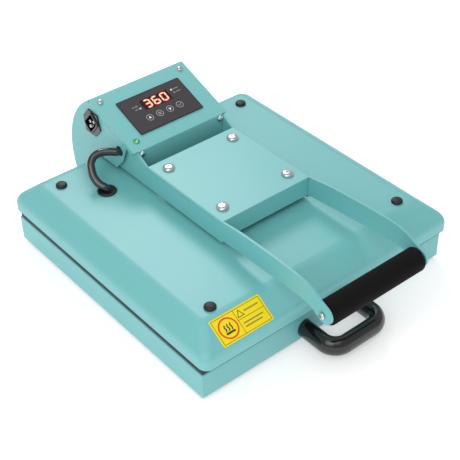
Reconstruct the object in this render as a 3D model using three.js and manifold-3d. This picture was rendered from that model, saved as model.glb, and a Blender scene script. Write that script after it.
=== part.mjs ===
// Clamshell heat press, 380 mm square: base with silicone pad, hinged arm frame with
// control box and foam grip, and a spring-mounted heated platen under a folded cover.
// Millimetres, +X to the operator's right, +Y to the rear, +Z up.
// Inside the build, z = 0 is the base's bottom edge and x = y = 0 its centre; the whole
// press is moved at the end so that the origin is under the middle of its box.

import * as THREE from 'three';
import { mergeVertices } from 'three/addons/utils/BufferGeometryUtils.js';
import { ConvexGeometry } from 'three/addons/geometries/ConvexGeometry.js';
import Module from 'manifold-3d';

const wasm = await Module();
wasm.setup();

// ---- driving dimensions ----
const GAP = 0.3;
const SHEET = 1.5;

const BASE = { width: 400, depth: 393.5, height: 36 };
const FOOT = { radius: 12, height: 6.5, inX: 160, inY: 155 };
const PAD = { width: 397, depth: 391, thick: 6.2 };
const HEATER = { size: 380, thick: 14 };
const COVER = {
  width: 405.4, depth: 409.9, centreY: -1.3,
  skirtBottom: 48.7, skirtTop: 66.1, top: 87.6,
  inset: 24.7, frontInset: 35, cornerRadius: 12, topRadius: 6,
};

const HINGE = { y: 225, z: 50, shaftRadius: 6, earX: 62, earThick: 5, earRadius: 13 };

const ARM = { halfWidth: 73, thick: 3, frontY: -80, gripHalfWidth: 78.5 };
const GRIP = { y: -263.4, z: 104.3, radius: 15.7, tubeRadius: 8, halfLength: 74 };
const CHANNEL = { top: 124.4, rearY: 71.5, lipBottom: 96.5, thick: 3 };
const BOLTS = { x: 53.5, frontY: -58, rearY: 51, shankRadius: 4, headRadius: 8 };

const BOX = { halfWidth: 78, arcY: 130, arcZ: 71, arcRadius: 118 };
const PANEL = { lowY: 93, lowZ: 136.6, length: 103.8, tilt: THREE.MathUtils.degToRad(20.2) };
const LIP_BOTTOM = 97;
const LIP_SCREW = { x: 65.4, z: 131 };
const PANEL_SCREW = { x: 66.6, s: 93 };
const OVERLAY = { width: 104, height: 60.5, thick: 1.2, centreX: 1, centreS: 50.5 };
const KEYS = { x: [-23.2, -6.7, 9.9, 26.4], s: 39.5, radius: 5.7, thick: 2 };
const INLET = { y: 185.4, z: 139.7, turn: THREE.MathUtils.degToRad(-50) };
const LEAD_RADIUS = 5.5;

// ---- materials ----
function finish(color, roughness, metalness) {
  return new THREE.MeshStandardMaterial({ color, roughness, metalness });
}
const MINT = finish(0x8cc9c7, 0.5, 0.1);
const ZINC = finish(0xc9c9c6, 0.3, 0.9);
const STEEL = finish(0x8f9194, 0.4, 0.9);
const BLACK_RUBBER = finish(0x1b1b1c, 0.8, 0);
const BLACK_GLOSS = finish(0x121213, 0.25, 0);
const BLACK_FOAM = finish(0x201e1f, 0.95, 0);
const HEATER_COAT = finish(0x2a2a2c, 0.6, 0.3);
const OVERLAY_GREY = finish(0x454245, 0.4, 0);
const KEY_GREY = finish(0x57545a, 0.4, 0);
const BRONZE = finish(0xa87d43, 0.4, 0.9);
const BOARD_GREEN = finish(0x1f5a35, 0.6, 0);
const GLASS_WOOL = finish(0xe0d9c4, 0.95, 0);

// ---- geometry helpers ----
function signedVolume(geometry) {
  const p = geometry.attributes.position;
  const index = geometry.index.array;
  const [a, b, c] = [new THREE.Vector3(), new THREE.Vector3(), new THREE.Vector3()];
  let volume = 0;
  for (let i = 0; i < index.length; i += 3) {
    a.fromBufferAttribute(p, index[i]);
    b.fromBufferAttribute(p, index[i + 1]);
    c.fromBufferAttribute(p, index[i + 2]);
    volume += a.dot(b.cross(c)) / 6;
  }
  return volume;
}

// Position-only, vertices merged, faces pointing out.
function closed(geometry) {
  const bare = geometry.index ? geometry.toNonIndexed() : geometry.clone();
  for (const name of Object.keys(bare.attributes)) {
    if (name !== 'position') bare.deleteAttribute(name);
  }
  const merged = mergeVertices(bare, 1e-4);
  const kept = [];
  const index = merged.index.array;
  for (let i = 0; i < index.length; i += 3) {
    const [a, b, c] = [index[i], index[i + 1], index[i + 2]];
    if (a !== b && b !== c && a !== c) kept.push(a, b, c);
  }
  merged.setIndex(kept);
  if (signedVolume(merged) < 0) {
    for (let i = 0; i < kept.length; i += 3) [kept[i], kept[i + 1]] = [kept[i + 1], kept[i]];
    merged.setIndex(kept);
  }
  return merged;
}

function toSolid(geometry) {
  const g = closed(geometry);
  return new wasm.Manifold(new wasm.Mesh({
    numProp: 3,
    vertProperties: new Float32Array(g.attributes.position.array),
    triVerts: new Uint32Array(g.index.array),
  }));
}

function fromSolid(solid) {
  const mesh = solid.getMesh();
  const g = new THREE.BufferGeometry();
  g.setAttribute('position', new THREE.BufferAttribute(new Float32Array(mesh.vertProperties), 3));
  g.setIndex(Array.from(mesh.triVerts));
  return g;
}

// Joins `parts` and cuts every one of `cuts` away.
function carve(parts, cuts = []) {
  let solid = toSolid(parts[0]);
  for (const part of parts.slice(1)) solid = solid.add(toSolid(part));
  for (const cut of cuts) solid = solid.subtract(toSolid(cut));
  return fromSolid(solid);
}

function box(x0, x1, y0, y1, z0, z1) {
  const g = new THREE.BoxGeometry(x1 - x0, y1 - y0, z1 - z0);
  return g.translate((x0 + x1) / 2, (y0 + y1) / 2, (z0 + z1) / 2);
}

// A shape drawn in (y, z), extruded along X from x0 to x1.
function slabX(shape, x0, x1, curveSegments = 8) {
  const g = new THREE.ExtrudeGeometry(shape, { depth: x1 - x0, bevelEnabled: false, curveSegments });
  const toFrame = new THREE.Matrix4().set(0, 0, 1, x0, 1, 0, 0, 0, 0, 1, 0, 0, 0, 0, 0, 1);
  return g.applyMatrix4(toFrame);
}

// A shape drawn in (x, y), extruded up from z0 to z1.
function slabZ(shape, z0, z1, curveSegments = 8) {
  const g = new THREE.ExtrudeGeometry(shape, { depth: z1 - z0, bevelEnabled: false, curveSegments });
  return g.translate(0, 0, z0);
}

function polygon(points) {
  return new THREE.Shape(points.map(([a, b]) => new THREE.Vector2(a, b)));
}

function roundedRectangle(width, height, radius, cx = 0, cy = 0) {
  const [w, h] = [width / 2 - radius, height / 2 - radius];
  const s = new THREE.Shape();
  s.absarc(cx + w, cy + h, radius, 0, Math.PI / 2);
  s.absarc(cx - w, cy + h, radius, Math.PI / 2, Math.PI);
  s.absarc(cx - w, cy - h, radius, Math.PI, 1.5 * Math.PI);
  s.absarc(cx + w, cy - h, radius, 1.5 * Math.PI, 2 * Math.PI);
  s.closePath();
  return s;
}

// Round bar from `start`, `length` long, along 'x', 'y' or 'z'.
function rod(axis, [x, y, z], radius, length, segments = 12) {
  const g = new THREE.CylinderGeometry(radius, radius, length, segments);
  g.translate(0, length / 2, 0);
  return turnTo(axis, g).translate(x, y, z);
}

// A turned part: its profile is [radius, height] pairs that start and end on the axis
// or close on themselves, with height along `axis` from `start`.
function turned(axis, [x, y, z], profile, segments = 16) {
  const g = new THREE.LatheGeometry(profile.map(([r, h]) => new THREE.Vector2(r, h)), segments);
  return turnTo(axis, g).translate(x, y, z);
}

function turnTo(axis, geometry) {
  if (axis === 'x') geometry.rotateZ(-Math.PI / 2);
  if (axis === '-x') geometry.rotateZ(Math.PI / 2);
  if (axis === 'z') geometry.rotateX(Math.PI / 2);
  if (axis === '-y') geometry.rotateX(Math.PI);
  return geometry;
}

function ringProfile(inner, outer, length) {
  return [[inner, 0], [outer, 0], [outer, length], [inner, length], [inner, 0]];
}

// A screw along +Z with its head's underside at height 0 and a domed head above.
function panHeadProfile(headRadius, headHeight, shankRadius, shankLength) {
  return [
    [0, -shankLength], [shankRadius, -shankLength], [shankRadius, 0], [headRadius, 0],
    [headRadius, headHeight * 0.45], [headRadius * 0.8, headHeight * 0.85],
    [headRadius * 0.4, headHeight], [0, headHeight],
  ];
}

// A round or oval section swept along a curve.
function sweep(curve, halfWide, halfHigh, sides, steps) {
  const outline = Array.from({ length: sides }, (_, i) => {
    const a = (i / sides) * 2 * Math.PI;
    return new THREE.Vector2(halfWide * Math.cos(a), halfHigh * Math.sin(a));
  });
  return new THREE.ExtrudeGeometry(new THREE.Shape(outline), { steps, extrudePath: curve });
}

class Helix extends THREE.Curve {
  constructor(axis, start, radius, length, turns) {
    super();
    Object.assign(this, { axis, start, radius, length, turns });
  }

  getPoint(t, target = new THREE.Vector3()) {
    const turn = t * this.turns * 2 * Math.PI;
    const [a, b, along] = [Math.cos(turn) * this.radius, Math.sin(turn) * this.radius, t * this.length];
    if (this.axis === 'x') target.set(along, a, b);
    else target.set(a, b, along);
    return target.add(this.start);
  }
}

const press = new THREE.Group();

function add(name, geometry, material) {
  const mesh = new THREE.Mesh(closed(geometry), material.clone());
  mesh.name = name;
  press.add(mesh);
  return mesh;
}

// ---- base ----
const BASE_FRONT = -BASE.depth / 2;
const BASE_REAR = BASE.depth / 2;
const HANDLE = { legX: 41.5, frontY: -249.3, z: 15, halfWide: 10.5, halfHigh: 13.2, bend: 18 };
const STUD = { radius: 3, length: 12 };

function baseShell() {
  const [w, t] = [BASE.width / 2, SHEET];
  const [holeRadius, holeY] = [STUD.radius + 0.4, BASE_FRONT - 1];
  const studHoles = [-1, 1].map((s) => rod('y', [s * HANDLE.legX, holeY, HANDLE.z], holeRadius, 4));
  return carve(
    [box(-w, w, BASE_FRONT, BASE_REAR, 0, BASE.height)],
    [box(-w + t, w - t, BASE_FRONT + t, BASE_REAR - t, -1, BASE.height - t), ...studHoles],
  );
}

function carryHandle() {
  const { legX, frontY, z, bend } = HANDLE;
  const wallY = BASE_FRONT - GAP;
  const corner = (side) => new THREE.QuadraticBezierCurve3(
    new THREE.Vector3(side * legX, frontY + bend, z),
    new THREE.Vector3(side * legX, frontY, z),
    new THREE.Vector3(side * (legX - bend), frontY, z),
  );
  const left = corner(-1);
  const right = corner(1);
  const path = new THREE.CurvePath();
  path.add(new THREE.LineCurve3(new THREE.Vector3(-legX, wallY, z), left.v0));
  path.add(left);
  path.add(new THREE.LineCurve3(left.v2, right.v2));
  path.add(new THREE.QuadraticBezierCurve3(right.v2, right.v1, right.v0));
  path.add(new THREE.LineCurve3(right.v0, new THREE.Vector3(legX, wallY, z)));
  const bar = sweep(path, HANDLE.halfHigh, HANDLE.halfWide, 12, 28);
  const studs = [-1, 1].map((s) => rod('y', [s * legX, wallY - 5, z], STUD.radius, STUD.length + 5, 12));
  return carve([bar, ...studs]);
}

// L bracket: a flange on the base's rear wall and an ear that carries the shaft.
function hingeBracket(side) {
  const wallY = BASE_REAR + GAP;
  const [x0, x1] = [HINGE.earX - HINGE.earThick, HINGE.earX];
  const ear = new THREE.Shape();
  ear.moveTo(wallY, 30);
  ear.lineTo(HINGE.y, HINGE.z - HINGE.earRadius);
  ear.absarc(HINGE.y, HINGE.z, HINGE.earRadius, -Math.PI / 2, Math.PI * 0.753, false);
  ear.lineTo(wallY, 40);
  ear.closePath();
  const flange = box(HINGE.earX - 32, x1, wallY, wallY + 5, 6, 35);
  const bore = rod('x', [x0 - 1, HINGE.y, HINGE.z], HINGE.shaftRadius + 0.3, HINGE.earThick + 2);
  return mirrored(carve([slabX(ear, x0, x1), flange], [bore]), side);
}

// Round bar through both ears and both arm plates, with a riveted head at each end.
function hingeShaft() {
  const [half, head] = [ARM.halfWidth + 0.4, 2.4];
  const headRadius = HINGE.shaftRadius + 2.2;
  const profile = [[0, -half - head], [headRadius, -half - head + 0.6], [headRadius, -half],
    [HINGE.shaftRadius, -half], [HINGE.shaftRadius, half], [headRadius, half],
    [headRadius, half + head - 0.6], [0, half + head]];
  return turned('x', [0, HINGE.y, HINGE.z], profile);
}

// Counterbalance spring round the middle of the shaft.
function torsionSpring() {
  const length = 60;
  const start = new THREE.Vector3(-length / 2, HINGE.y, HINGE.z);
  return sweep(new Helix('x', start, 9.4, length, 7), 1.6, 1.6, 5, 56);
}

function buildBase() {
  add('base_shell', baseShell(), MINT);
  const [w, d] = [BASE.width / 2 - SHEET - GAP, BASE.depth / 2 - SHEET - GAP];
  add('base_bottom_plate', box(-w, w, -d, d, 0.5, 2), STEEL);
  add('torsion_spring', torsionSpring(), STEEL);
  for (const side of [-1, 1]) {
    const name = side < 0 ? 'left' : 'right';
    add(`hinge_bracket_${name}`, hingeBracket(side), STEEL);
  }
  const footProfile = [[0, 0], [FOOT.radius, 0], [FOOT.radius, -FOOT.height + 1],
    [FOOT.radius - 1, -FOOT.height], [0, -FOOT.height]];
  for (const [name, sx, sy] of corners()) {
    add(`foot_${name}`, turned('z', [sx * FOOT.inX, sy * FOOT.inY, 0.2], footProfile), BLACK_RUBBER);
  }
  const [padX, padY, padBottom] = [PAD.width / 2, PAD.depth / 2, BASE.height + GAP];
  add('silicone_pad', box(-padX, padX, -padY, padY, padBottom, padBottom + PAD.thick), BLACK_RUBBER);
  add('carry_handle', carryHandle(), BLACK_GLOSS);
  add('hinge_shaft', hingeShaft(), STEEL);
}

function corners() {
  return [['front_left', -1, -1], ['front_right', 1, -1], ['rear_left', -1, 1], ['rear_right', 1, 1]];
}

// ---- arm frame ----
const SPLAY = (ARM.gripHalfWidth - ARM.halfWidth) / (ARM.frontY - GRIP.y);
const PANEL_UP = [Math.cos(PANEL.tilt), Math.sin(PANEL.tilt)];

// The (y, z) point `s` up the panel from its lower edge, `depth` below its face.
function panelPoint(s, depth = 0) {
  return [
    PANEL.lowY + s * PANEL_UP[0] + depth * PANEL_UP[1],
    PANEL.lowZ + s * PANEL_UP[1] - depth * PANEL_UP[0],
  ];
}

function armFrontShape() {
  const [tip, tipY, tipZ] = [12.5, GRIP.y - 1.7, GRIP.z + 1.8];
  const s = new THREE.Shape();
  s.moveTo(ARM.frontY + 0.5, CHANNEL.top);
  s.splineThru([[-114, 129], [-151, 131.5], [-188, 133], [-222, 133.2], [-242, 130], [-257, 122.5]]
    .map(([y, z]) => new THREE.Vector2(y, z)));
  s.absarc(tipY, tipZ, tip, 0.65 * Math.PI, 1.65 * Math.PI, false);
  s.splineThru([[-252, 98.5], [-244, 103], [-230, 105.2], [-205, 105], [-165, 102], [-128, 100]]
    .map(([y, z]) => new THREE.Vector2(y, z)));
  s.lineTo(ARM.frontY + 0.5, 96);
  s.closePath();
  return s;
}

function armRearShape() {
  const boss = 15;
  const s = new THREE.Shape();
  s.moveTo(ARM.frontY, 92);
  s.lineTo(182, 92);
  s.lineTo(208.5, 69);
  s.lineTo(HINGE.y - boss, HINGE.z);
  s.absarc(HINGE.y, HINGE.z, boss, Math.PI, 2.2 * Math.PI, false);
  s.lineTo(222, 92);
  s.lineTo(164, 110);
  s.lineTo(138, 135);
  s.lineTo(...panelPoint(16, SHEET + 2.5));
  s.lineTo(...panelPoint(0.5, SHEET + 0.6));
  s.lineTo(CHANNEL.rearY + 0.5, CHANNEL.top - 1);
  s.lineTo(CHANNEL.rearY, CHANNEL.top - CHANNEL.thick - GAP);
  s.lineTo(ARM.frontY + 4, CHANNEL.top - CHANNEL.thick - GAP);
  s.lineTo(ARM.frontY, CHANNEL.top - CHANNEL.thick - GAP);
  s.closePath();
  return s;
}

function armPlate(side) {
  const [x0, x1] = [ARM.halfWidth - ARM.thick, ARM.halfWidth];
  const front = slabX(armFrontShape(), x0, x1, 5);
  const splay = new THREE.Matrix4().makeShear(0, 0, -SPLAY, 0, 0, 0).setPosition(ARM.frontY * SPLAY, 0, 0);
  front.applyMatrix4(splay);
  const rear = slabX(armRearShape(), x0, x1, 5);
  const plateBottom = CHANNEL.top - CHANNEL.thick - GAP;
  const plateRoom = box(x0 - 1, x1 + 2, ARM.frontY - GAP, CHANNEL.rearY + GAP, plateBottom, 140);
  const lipTab = box(58, x0 + 1, PANEL.lowY + 1.2, PANEL.lowY + 2.7, 118, PANEL.lowZ - 2.5);
  const screwHole = rod('y', [LIP_SCREW.x, PANEL.lowY - 1, LIP_SCREW.z], 2.2, 6, 10);
  const gripHole = rod('x', [x0 - 1, GRIP.y, GRIP.z], 3.4, 12, 12);
  const shaftHole = rod('x', [x0 - 1, HINGE.y, HINGE.z], BUSH.outer + 0.3, ARM.thick + 2);
  return mirrored(carve([front, rear, lipTab], [plateRoom, screwHole, gripHole, shaftHole]), side);
}

// Takes a piece built on the right to the side asked for.
function mirrored(geometry, side) {
  if (side > 0) return geometry;
  return closed(geometry.clone().scale(-1, 1, 1));
}

const BUSH = { outer: 8, flange: 11, clearance: 0.2 };

function hingeBush(side) {
  const inner = HINGE.shaftRadius + BUSH.clearance;
  const flangeX = HINGE.earX + 0.4;
  const shoulder = ARM.halfWidth - ARM.thick - GAP - flangeX;
  const length = ARM.halfWidth - flangeX;
  const profile = [[inner, 0], [BUSH.flange, 0], [BUSH.flange, shoulder], [BUSH.outer, shoulder],
    [BUSH.outer, length], [inner, length], [inner, 0]];
  return mirrored(turned('x', [flangeX, HINGE.y, HINGE.z], profile), side);
}

function boltPlaces() {
  return corners().map(([name, sx, sy]) => [name, sx * BOLTS.x, sy < 0 ? BOLTS.frontY : BOLTS.rearY]);
}

// Folded top plate with a front flange between the two arms.
function channelPlate() {
  const [h, t] = [ARM.halfWidth, CHANNEL.thick];
  const top = new THREE.Shape();
  const r = 2.2;
  top.moveTo(-h, CHANNEL.top - t);
  top.lineTo(h, CHANNEL.top - t);
  top.absarc(h - r, CHANNEL.top - r, r, 0, Math.PI / 2, false);
  top.absarc(-h + r, CHANNEL.top - r, r, Math.PI / 2, Math.PI, false);
  top.closePath();
  const depth = CHANNEL.rearY - ARM.frontY;
  const plate = new THREE.ExtrudeGeometry(top, { depth, bevelEnabled: false, curveSegments: 4 });
  plate.rotateX(Math.PI / 2).translate(0, CHANNEL.rearY, 0);
  const inner = h - ARM.thick - GAP;
  const flange = box(-inner, inner, ARM.frontY, ARM.frontY + t, CHANNEL.lipBottom, CHANNEL.top - t + 0.5);
  const [holeRadius, holeBottom] = [BOLTS.shankRadius + 0.6, CHANNEL.top - t - 2];
  const holes = boltPlaces().map(([, x, y]) => rod('z', [x, y, holeBottom], holeRadius, t + 5));
  return carve([plate, flange], holes);
}

function gripTube() {
  const half = GRIP.halfLength;
  return turned('x', [-half, GRIP.y, GRIP.z], ringProfile(5, GRIP.tubeRadius, 2 * half));
}

function foamGrip() {
  const [half, r, inner] = [GRIP.halfLength, GRIP.radius, GRIP.tubeRadius + GAP];
  const profile = [[inner, 0], [r - 1.2, 0], [r, 1.2], [r, 2 * half - 1.2], [r - 1.2, 2 * half],
    [inner, 2 * half], [inner, 0]];
  return turned('x', [-half, GRIP.y, GRIP.z], profile, 20);
}

function gripScrew(side) {
  const face = ARM.gripHalfWidth + 0.9;
  const profile = [[0, -28], [3, -28], [3, 0], [4.6, 0], [4.6, 1], [3.4, 2.3], [0, 2.8]];
  return mirrored(turned('x', [face, GRIP.y, GRIP.z], profile, 14), side);
}

// Cross bar between the arm plates above the hinge: it anchors the springs.
function rearTie() {
  const half = ARM.halfWidth - ARM.thick - GAP;
  return rod('x', [-half, 214, 84], 5, 2 * half);
}

function buildArm() {
  for (const side of [-1, 1]) {
    const name = side < 0 ? 'left' : 'right';
    add(`arm_${name}`, armPlate(side), MINT);
    add(`hinge_bush_${name}`, hingeBush(side), BRONZE);
    add(`grip_screw_${name}`, gripScrew(side), ZINC);
  }
  add('channel_plate', channelPlate(), MINT);
  add('grip_tube', gripTube(), STEEL);
  add('foam_grip', foamGrip(), BLACK_FOAM);
  add('rear_tie', rearTie(), STEEL);
}

// ---- control box ----
const PANEL_TOP = panelPoint(PANEL.length);
const WRAP_SEAM = 2.2;
const PANEL_TOP_ANGLE = Math.atan2(PANEL_TOP[1] - BOX.arcZ, PANEL_TOP[0] - BOX.arcY);
const ARC_START = PANEL_TOP_ANGLE - WRAP_SEAM / BOX.arcRadius;
const ARC_END = THREE.MathUtils.degToRad(-17);
const TAIL = { radius: 24, start: -45, wrapEnd: -60, sideEnd: -150 };
const SKIRT = 7;

function arcPoints(cy, cz, radius, from, to, count) {
  return Array.from({ length: count + 1 }, (_, i) => {
    const a = from + (to - from) * (i / count);
    return [cy + radius * Math.cos(a), cz + radius * Math.sin(a)];
  });
}

// Rear outline of the box, from the panel's upper edge round to `endDegrees` under the hinge.
function rearOutline(inset, endDegrees) {
  const [from, to] = [TAIL.start, endDegrees].map(THREE.MathUtils.degToRad);
  const tailSteps = Math.round(Math.abs(endDegrees) / 20);
  return [
    ...arcPoints(BOX.arcY, BOX.arcZ, BOX.arcRadius - inset, ARC_START, ARC_END, 14),
    ...arcPoints(HINGE.y, HINGE.z, TAIL.radius - inset, from, to, tailSteps),
  ];
}

function boxSideShape() {
  return polygon([
    panelPoint(16, SKIRT),
    panelPoint(PANEL.length + 0.2, SKIRT),
    ...rearOutline(0, TAIL.sideEnd),
    [207.5, 52],
    [207.5, 70],
    [182, 92.5],
    [136, 92.5],
    [120, 110],
  ]);
}

function boxSide(side) {
  const [x0, x1] = [BOX.halfWidth - SHEET, BOX.halfWidth];
  const [s0, s1] = [PANEL_SCREW.s - 7, PANEL_SCREW.s + 7];
  const tab = onPanel(box(x0 - 17, x0 - GAP, s0, s1, -SHEET - GAP - 1.5, -SHEET - GAP));
  const web = onPanel(box(x0 - GAP - 1.5, x0 - GAP, s0, s1, -SKIRT - 5, -SHEET - GAP));
  const foot = onPanel(box(x0 - GAP - 1.5, x0 + 0.5, s0, s1, -SKIRT - 5, -SKIRT - 1.5));
  const parts = [slabX(boxSideShape(), x0, x1), tab, web, foot];
  const cuts = [panelScrewHole(1, PANEL_SCREW.s)];
  if (side < 0) cuts.push(inletCut(), glandCut());
  else cuts.push(rockerCut());
  return mirrored(carve(parts, cuts), side);
}

function boxWrap() {
  const outer = rearOutline(0, TAIL.wrapEnd);
  const inner = rearOutline(SHEET, TAIL.wrapEnd).reverse();
  const half = BOX.halfWidth - SHEET - GAP;
  return slabX(polygon([...outer, ...inner]), -half, half);
}

function boxFloor() {
  const half = ARM.halfWidth - ARM.thick - GAP;
  return box(-half, half, 98, 178, 93, 94.2);
}

// ---- control panel ----
// Takes a piece built flat in (x, s) with its face at height 0 onto the sloping panel.
function onPanel(geometry) {
  return geometry.rotateX(PANEL.tilt).translate(0, PANEL.lowY, PANEL.lowZ);
}

function panelScrewHole(side, s) {
  return onPanel(rod('z', [side * PANEL_SCREW.x, s, -8], 2.3, 12, 10));
}

function frontPanel() {
  const [h, t] = [BOX.halfWidth, SHEET];
  const face = onPanel(box(-h, h, 0, PANEL.length, -t, 0));
  const skirt = onPanel(box(h - t, h, 2, PANEL.length - GAP, -SKIRT + 0.4, -0.2));
  const skirts = [-1, 1].map((s) => mirrored(skirt, s));
  const lipHalf = ARM.halfWidth - ARM.thick - GAP;
  const lip = box(-lipHalf, lipHalf, PANEL.lowY - 0.6, PANEL.lowY + 0.9, LIP_BOTTOM, PANEL.lowZ - 0.2);
  const { width, height, centreX, centreS } = OVERLAY;
  const window = onPanel(box(centreX - width / 2 + 5, centreX + width / 2 - 5, centreS - height / 2 + 5,
    centreS + height / 2 - 5, -t - 3, 3));
  const lipHoles = [-1, 1].map((s) => rod('y', [s * LIP_SCREW.x, PANEL.lowY - 2, LIP_SCREW.z], 2.2, 4, 10));
  const screwHoles = [-1, 1].map((s) => panelScrewHole(s, PANEL_SCREW.s));
  return carve([face, ...skirts, lip], [window, ...lipHoles, ...screwHoles]);
}

function displayOverlay() {
  const { width, height, thick, centreX, centreS } = OVERLAY;
  const sheet = slabZ(roundedRectangle(width, height, 1.5, centreX, centreS), GAP, GAP + thick, 3);
  const holes = KEYS.x.map((x) => rod('z', [x, KEYS.s, -1], KEYS.radius + GAP, 4));
  return onPanel(carve([sheet], holes));
}

function panelKey(x) {
  const top = GAP + OVERLAY.thick + 0.1;
  const { radius, thick } = KEYS;
  const profile = [[0, 0], [radius, 0], [radius, thick - 0.3], [radius - 0.5, thick], [0, thick]];
  return onPanel(turned('z', [x, KEYS.s, top - KEYS.thick], profile));
}

// Circuit board under the panel with a tact switch below each key and the number display.
function controllerBoard() {
  const { centreX, centreS } = OVERLAY;
  const boardTop = -9;
  const board = box(centreX - 45, centreX + 45, centreS - 24, centreS + 24, boardTop - 1.6, boardTop);
  const switches = KEYS.x.map((x) => box(x - 3, x + 3, KEYS.s - 3, KEYS.s + 3, boardTop - 0.5, -1.6));
  const display = box(-20, 24, 52, 70, boardTop - 0.5, -1);
  return onPanel(carve([board, ...switches, display]));
}

function panelScrew(side) {
  const profile = panHeadProfile(4, 2.6, 1.8, 6);
  return onPanel(turned('z', [side * PANEL_SCREW.x, PANEL_SCREW.s, GAP], profile));
}

function lipScrew(side) {
  const profile = panHeadProfile(4.2, 2.8, 1.8, 6);
  return turned('-y', [side * LIP_SCREW.x, PANEL.lowY - 0.6 - GAP, LIP_SCREW.z], profile);
}

// ---- power inlet, power switch and lead ----
const LEAD = [
  [-81.3, 125.6, 124.4], [-84, 126.2, 124.8], [-89, 129.8, 125.8], [-97, 134.3, 126.4],
  [-105.5, 137, 125.8], [-112.5, 137.4, 123], [-118.2, 135, 117.6], [-121.2, 130, 111],
  [-122.7, 124, 104.5], [-122.2, 117.5, 99.4], [-119.9, 111.6, 95.8], [-117, 107.4, 93.4],
];
const GLAND = { radius: 7.2, thick: 1.2 };

// Takes a piece built round the X axis at the origin to the inlet's place on the left side.
function atInlet(geometry) {
  return geometry.rotateX(INLET.turn).translate(-BOX.halfWidth, INLET.y, INLET.z);
}

// boxSide is built on the right and mirrored, so cuts for the left side are mirrored first.
function inletCut() {
  return mirrored(atInlet(box(-4, 4, -14.5, 14.5, -11, 11)), -1);
}

function glandCut() {
  return rod('x', [BOX.halfWidth - SHEET - 2, LEAD[0][1], LEAD[0][2]], GLAND.radius - 0.6, 6);
}

function powerInlet() {
  const flange = polygon([[-22, 0], [-9, 17.5], [10, 17.5], [25, 0], [10, -17.5], [-9, -17.5]]);
  const plate = slabX(flange, -2.3, -GAP);
  const shell = slabX(roundedRectangle(28.4, 21.4, 3), -4.2, 20, 3);
  const well = slabX(roundedRectangle(24.6, 17, 2.5), -5, 15, 3);
  const pins = [[-7, -2], [7, -2], [0, 3]].map(([y, z]) => box(1.5, 15.5, y - 1, y + 1, z - 2, z + 2));
  const body = carve([plate, shell], [well]);
  return atInlet(carve([body, ...pins]));
}

const ROCKER = { y: 186, z: 134, halfLong: 10.5, halfHigh: 7 };

function rockerCut() {
  const { y, z } = ROCKER;
  const [dy, dz] = [ROCKER.halfLong + 0.4, ROCKER.halfHigh + 0.4];
  return box(BOX.halfWidth - 4, BOX.halfWidth + 4, y - dy, y + dy, z - dz, z + dz);
}

function rockerFrame() {
  const face = BOX.halfWidth + GAP;
  const { y, z, halfLong, halfHigh } = ROCKER;
  const [wellLong, wellHigh] = [halfLong - 1.5, halfHigh - 1.5];
  const rim = slabX(roundedRectangle(2 * halfLong + 5, 2 * halfHigh + 5, 2, y, z), face, face + 2, 3);
  const body = box(face - 17, face + 1, y - halfLong, y + halfLong, z - halfHigh, z + halfHigh);
  const well = box(face - 8, face + 3, y - wellLong, y + wellLong, z - wellHigh, z + wellHigh);
  return carve([rim, body], [well]);
}

// The rocker's two wings meet over its pivot; at rest the rear wing stands proud.
function powerRocker() {
  const face = BOX.halfWidth + GAP;
  const reach = ROCKER.halfLong - 3;
  const side = polygon([[face - 3, -reach], [face + 0.5, -reach], [face + 1.2, 0], [face + 4.2, reach],
    [face - 1, reach], [face - 5, 0]]);
  const half = ROCKER.halfHigh - 1.8;
  return slabZ(side, -half, half).translate(0, ROCKER.y, ROCKER.z);
}

function leadGland() {
  const profile = [[LEAD_RADIUS + GAP, 0], [GLAND.radius, 0], [GLAND.radius - 0.6, GLAND.thick],
    [LEAD_RADIUS + GAP, GLAND.thick], [LEAD_RADIUS + GAP, 0]];
  return turned('-x', [-BOX.halfWidth - GAP, LEAD[0][1], LEAD[0][2]], profile);
}

function heaterLead() {
  const path = new THREE.CatmullRomCurve3(LEAD.map((p) => new THREE.Vector3(...p)));
  return sweep(path, LEAD_RADIUS, LEAD_RADIUS, 8, 16);
}

function buildControlBox() {
  add('box_side_left', boxSide(-1), MINT);
  add('box_side_right', boxSide(1), MINT);
  add('box_wrap', boxWrap(), MINT);
  add('box_floor', boxFloor(), STEEL);
  add('front_panel', frontPanel(), MINT);
  for (const side of [-1, 1]) {
    const name = side < 0 ? 'left' : 'right';
    add(`panel_screw_${name}`, panelScrew(side), ZINC);
    add(`lip_screw_${name}`, lipScrew(side), ZINC);
  }
  add('display_overlay', displayOverlay(), OVERLAY_GREY);
  ['up', 'set', 'down', 'ok'].forEach((name, i) => add(`key_${name}`, panelKey(KEYS.x[i]), KEY_GREY));
  add('controller_board', controllerBoard(), BOARD_GREEN);
  add('solid_state_relay', box(-30, 30, 130, 172, 94.5, 118), BLACK_RUBBER);
  add('power_inlet', powerInlet(), BLACK_GLOSS);
  add('rocker_frame', rockerFrame(), BLACK_GLOSS);
  add('power_rocker', powerRocker(), BLACK_GLOSS);
  add('lead_gland', leadGland(), BLACK_RUBBER);
  add('heater_lead', heaterLead(), BLACK_GLOSS);
}

// ---- platen ----
const HEATER_BOTTOM = BASE.height + GAP + PAD.thick + GAP;
const HEATER_TOP = HEATER_BOTTOM + HEATER.thick;
const GROMMET = { x: -115.6, y: 105.6, radius: 13, height: 2.2 };
const PLUG = { radius: 7.6, shank: 5, height: 4.4 };
const BOSS_RADIUS = 11;

// One level of the cover's outline: a rectangle with round corners at height z.
function coverRing(shrink, radius, z, frontShrink = shrink) {
  const [w, half] = [COVER.width / 2 - shrink - radius, COVER.depth / 2 - radius];
  const quarters = [[1, 1], [-1, 1], [-1, -1], [1, -1]];
  return quarters.flatMap(([sx, sy], i) => {
    const from = i * Math.PI / 2;
    const d = half - (sy < 0 ? frontShrink : shrink);
    const arc = arcPoints(sx * w, COVER.centreY + sy * d, radius, from, from + Math.PI / 2, 5);
    return arc.map(([x, y]) => new THREE.Vector3(x, y, z));
  });
}

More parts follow.
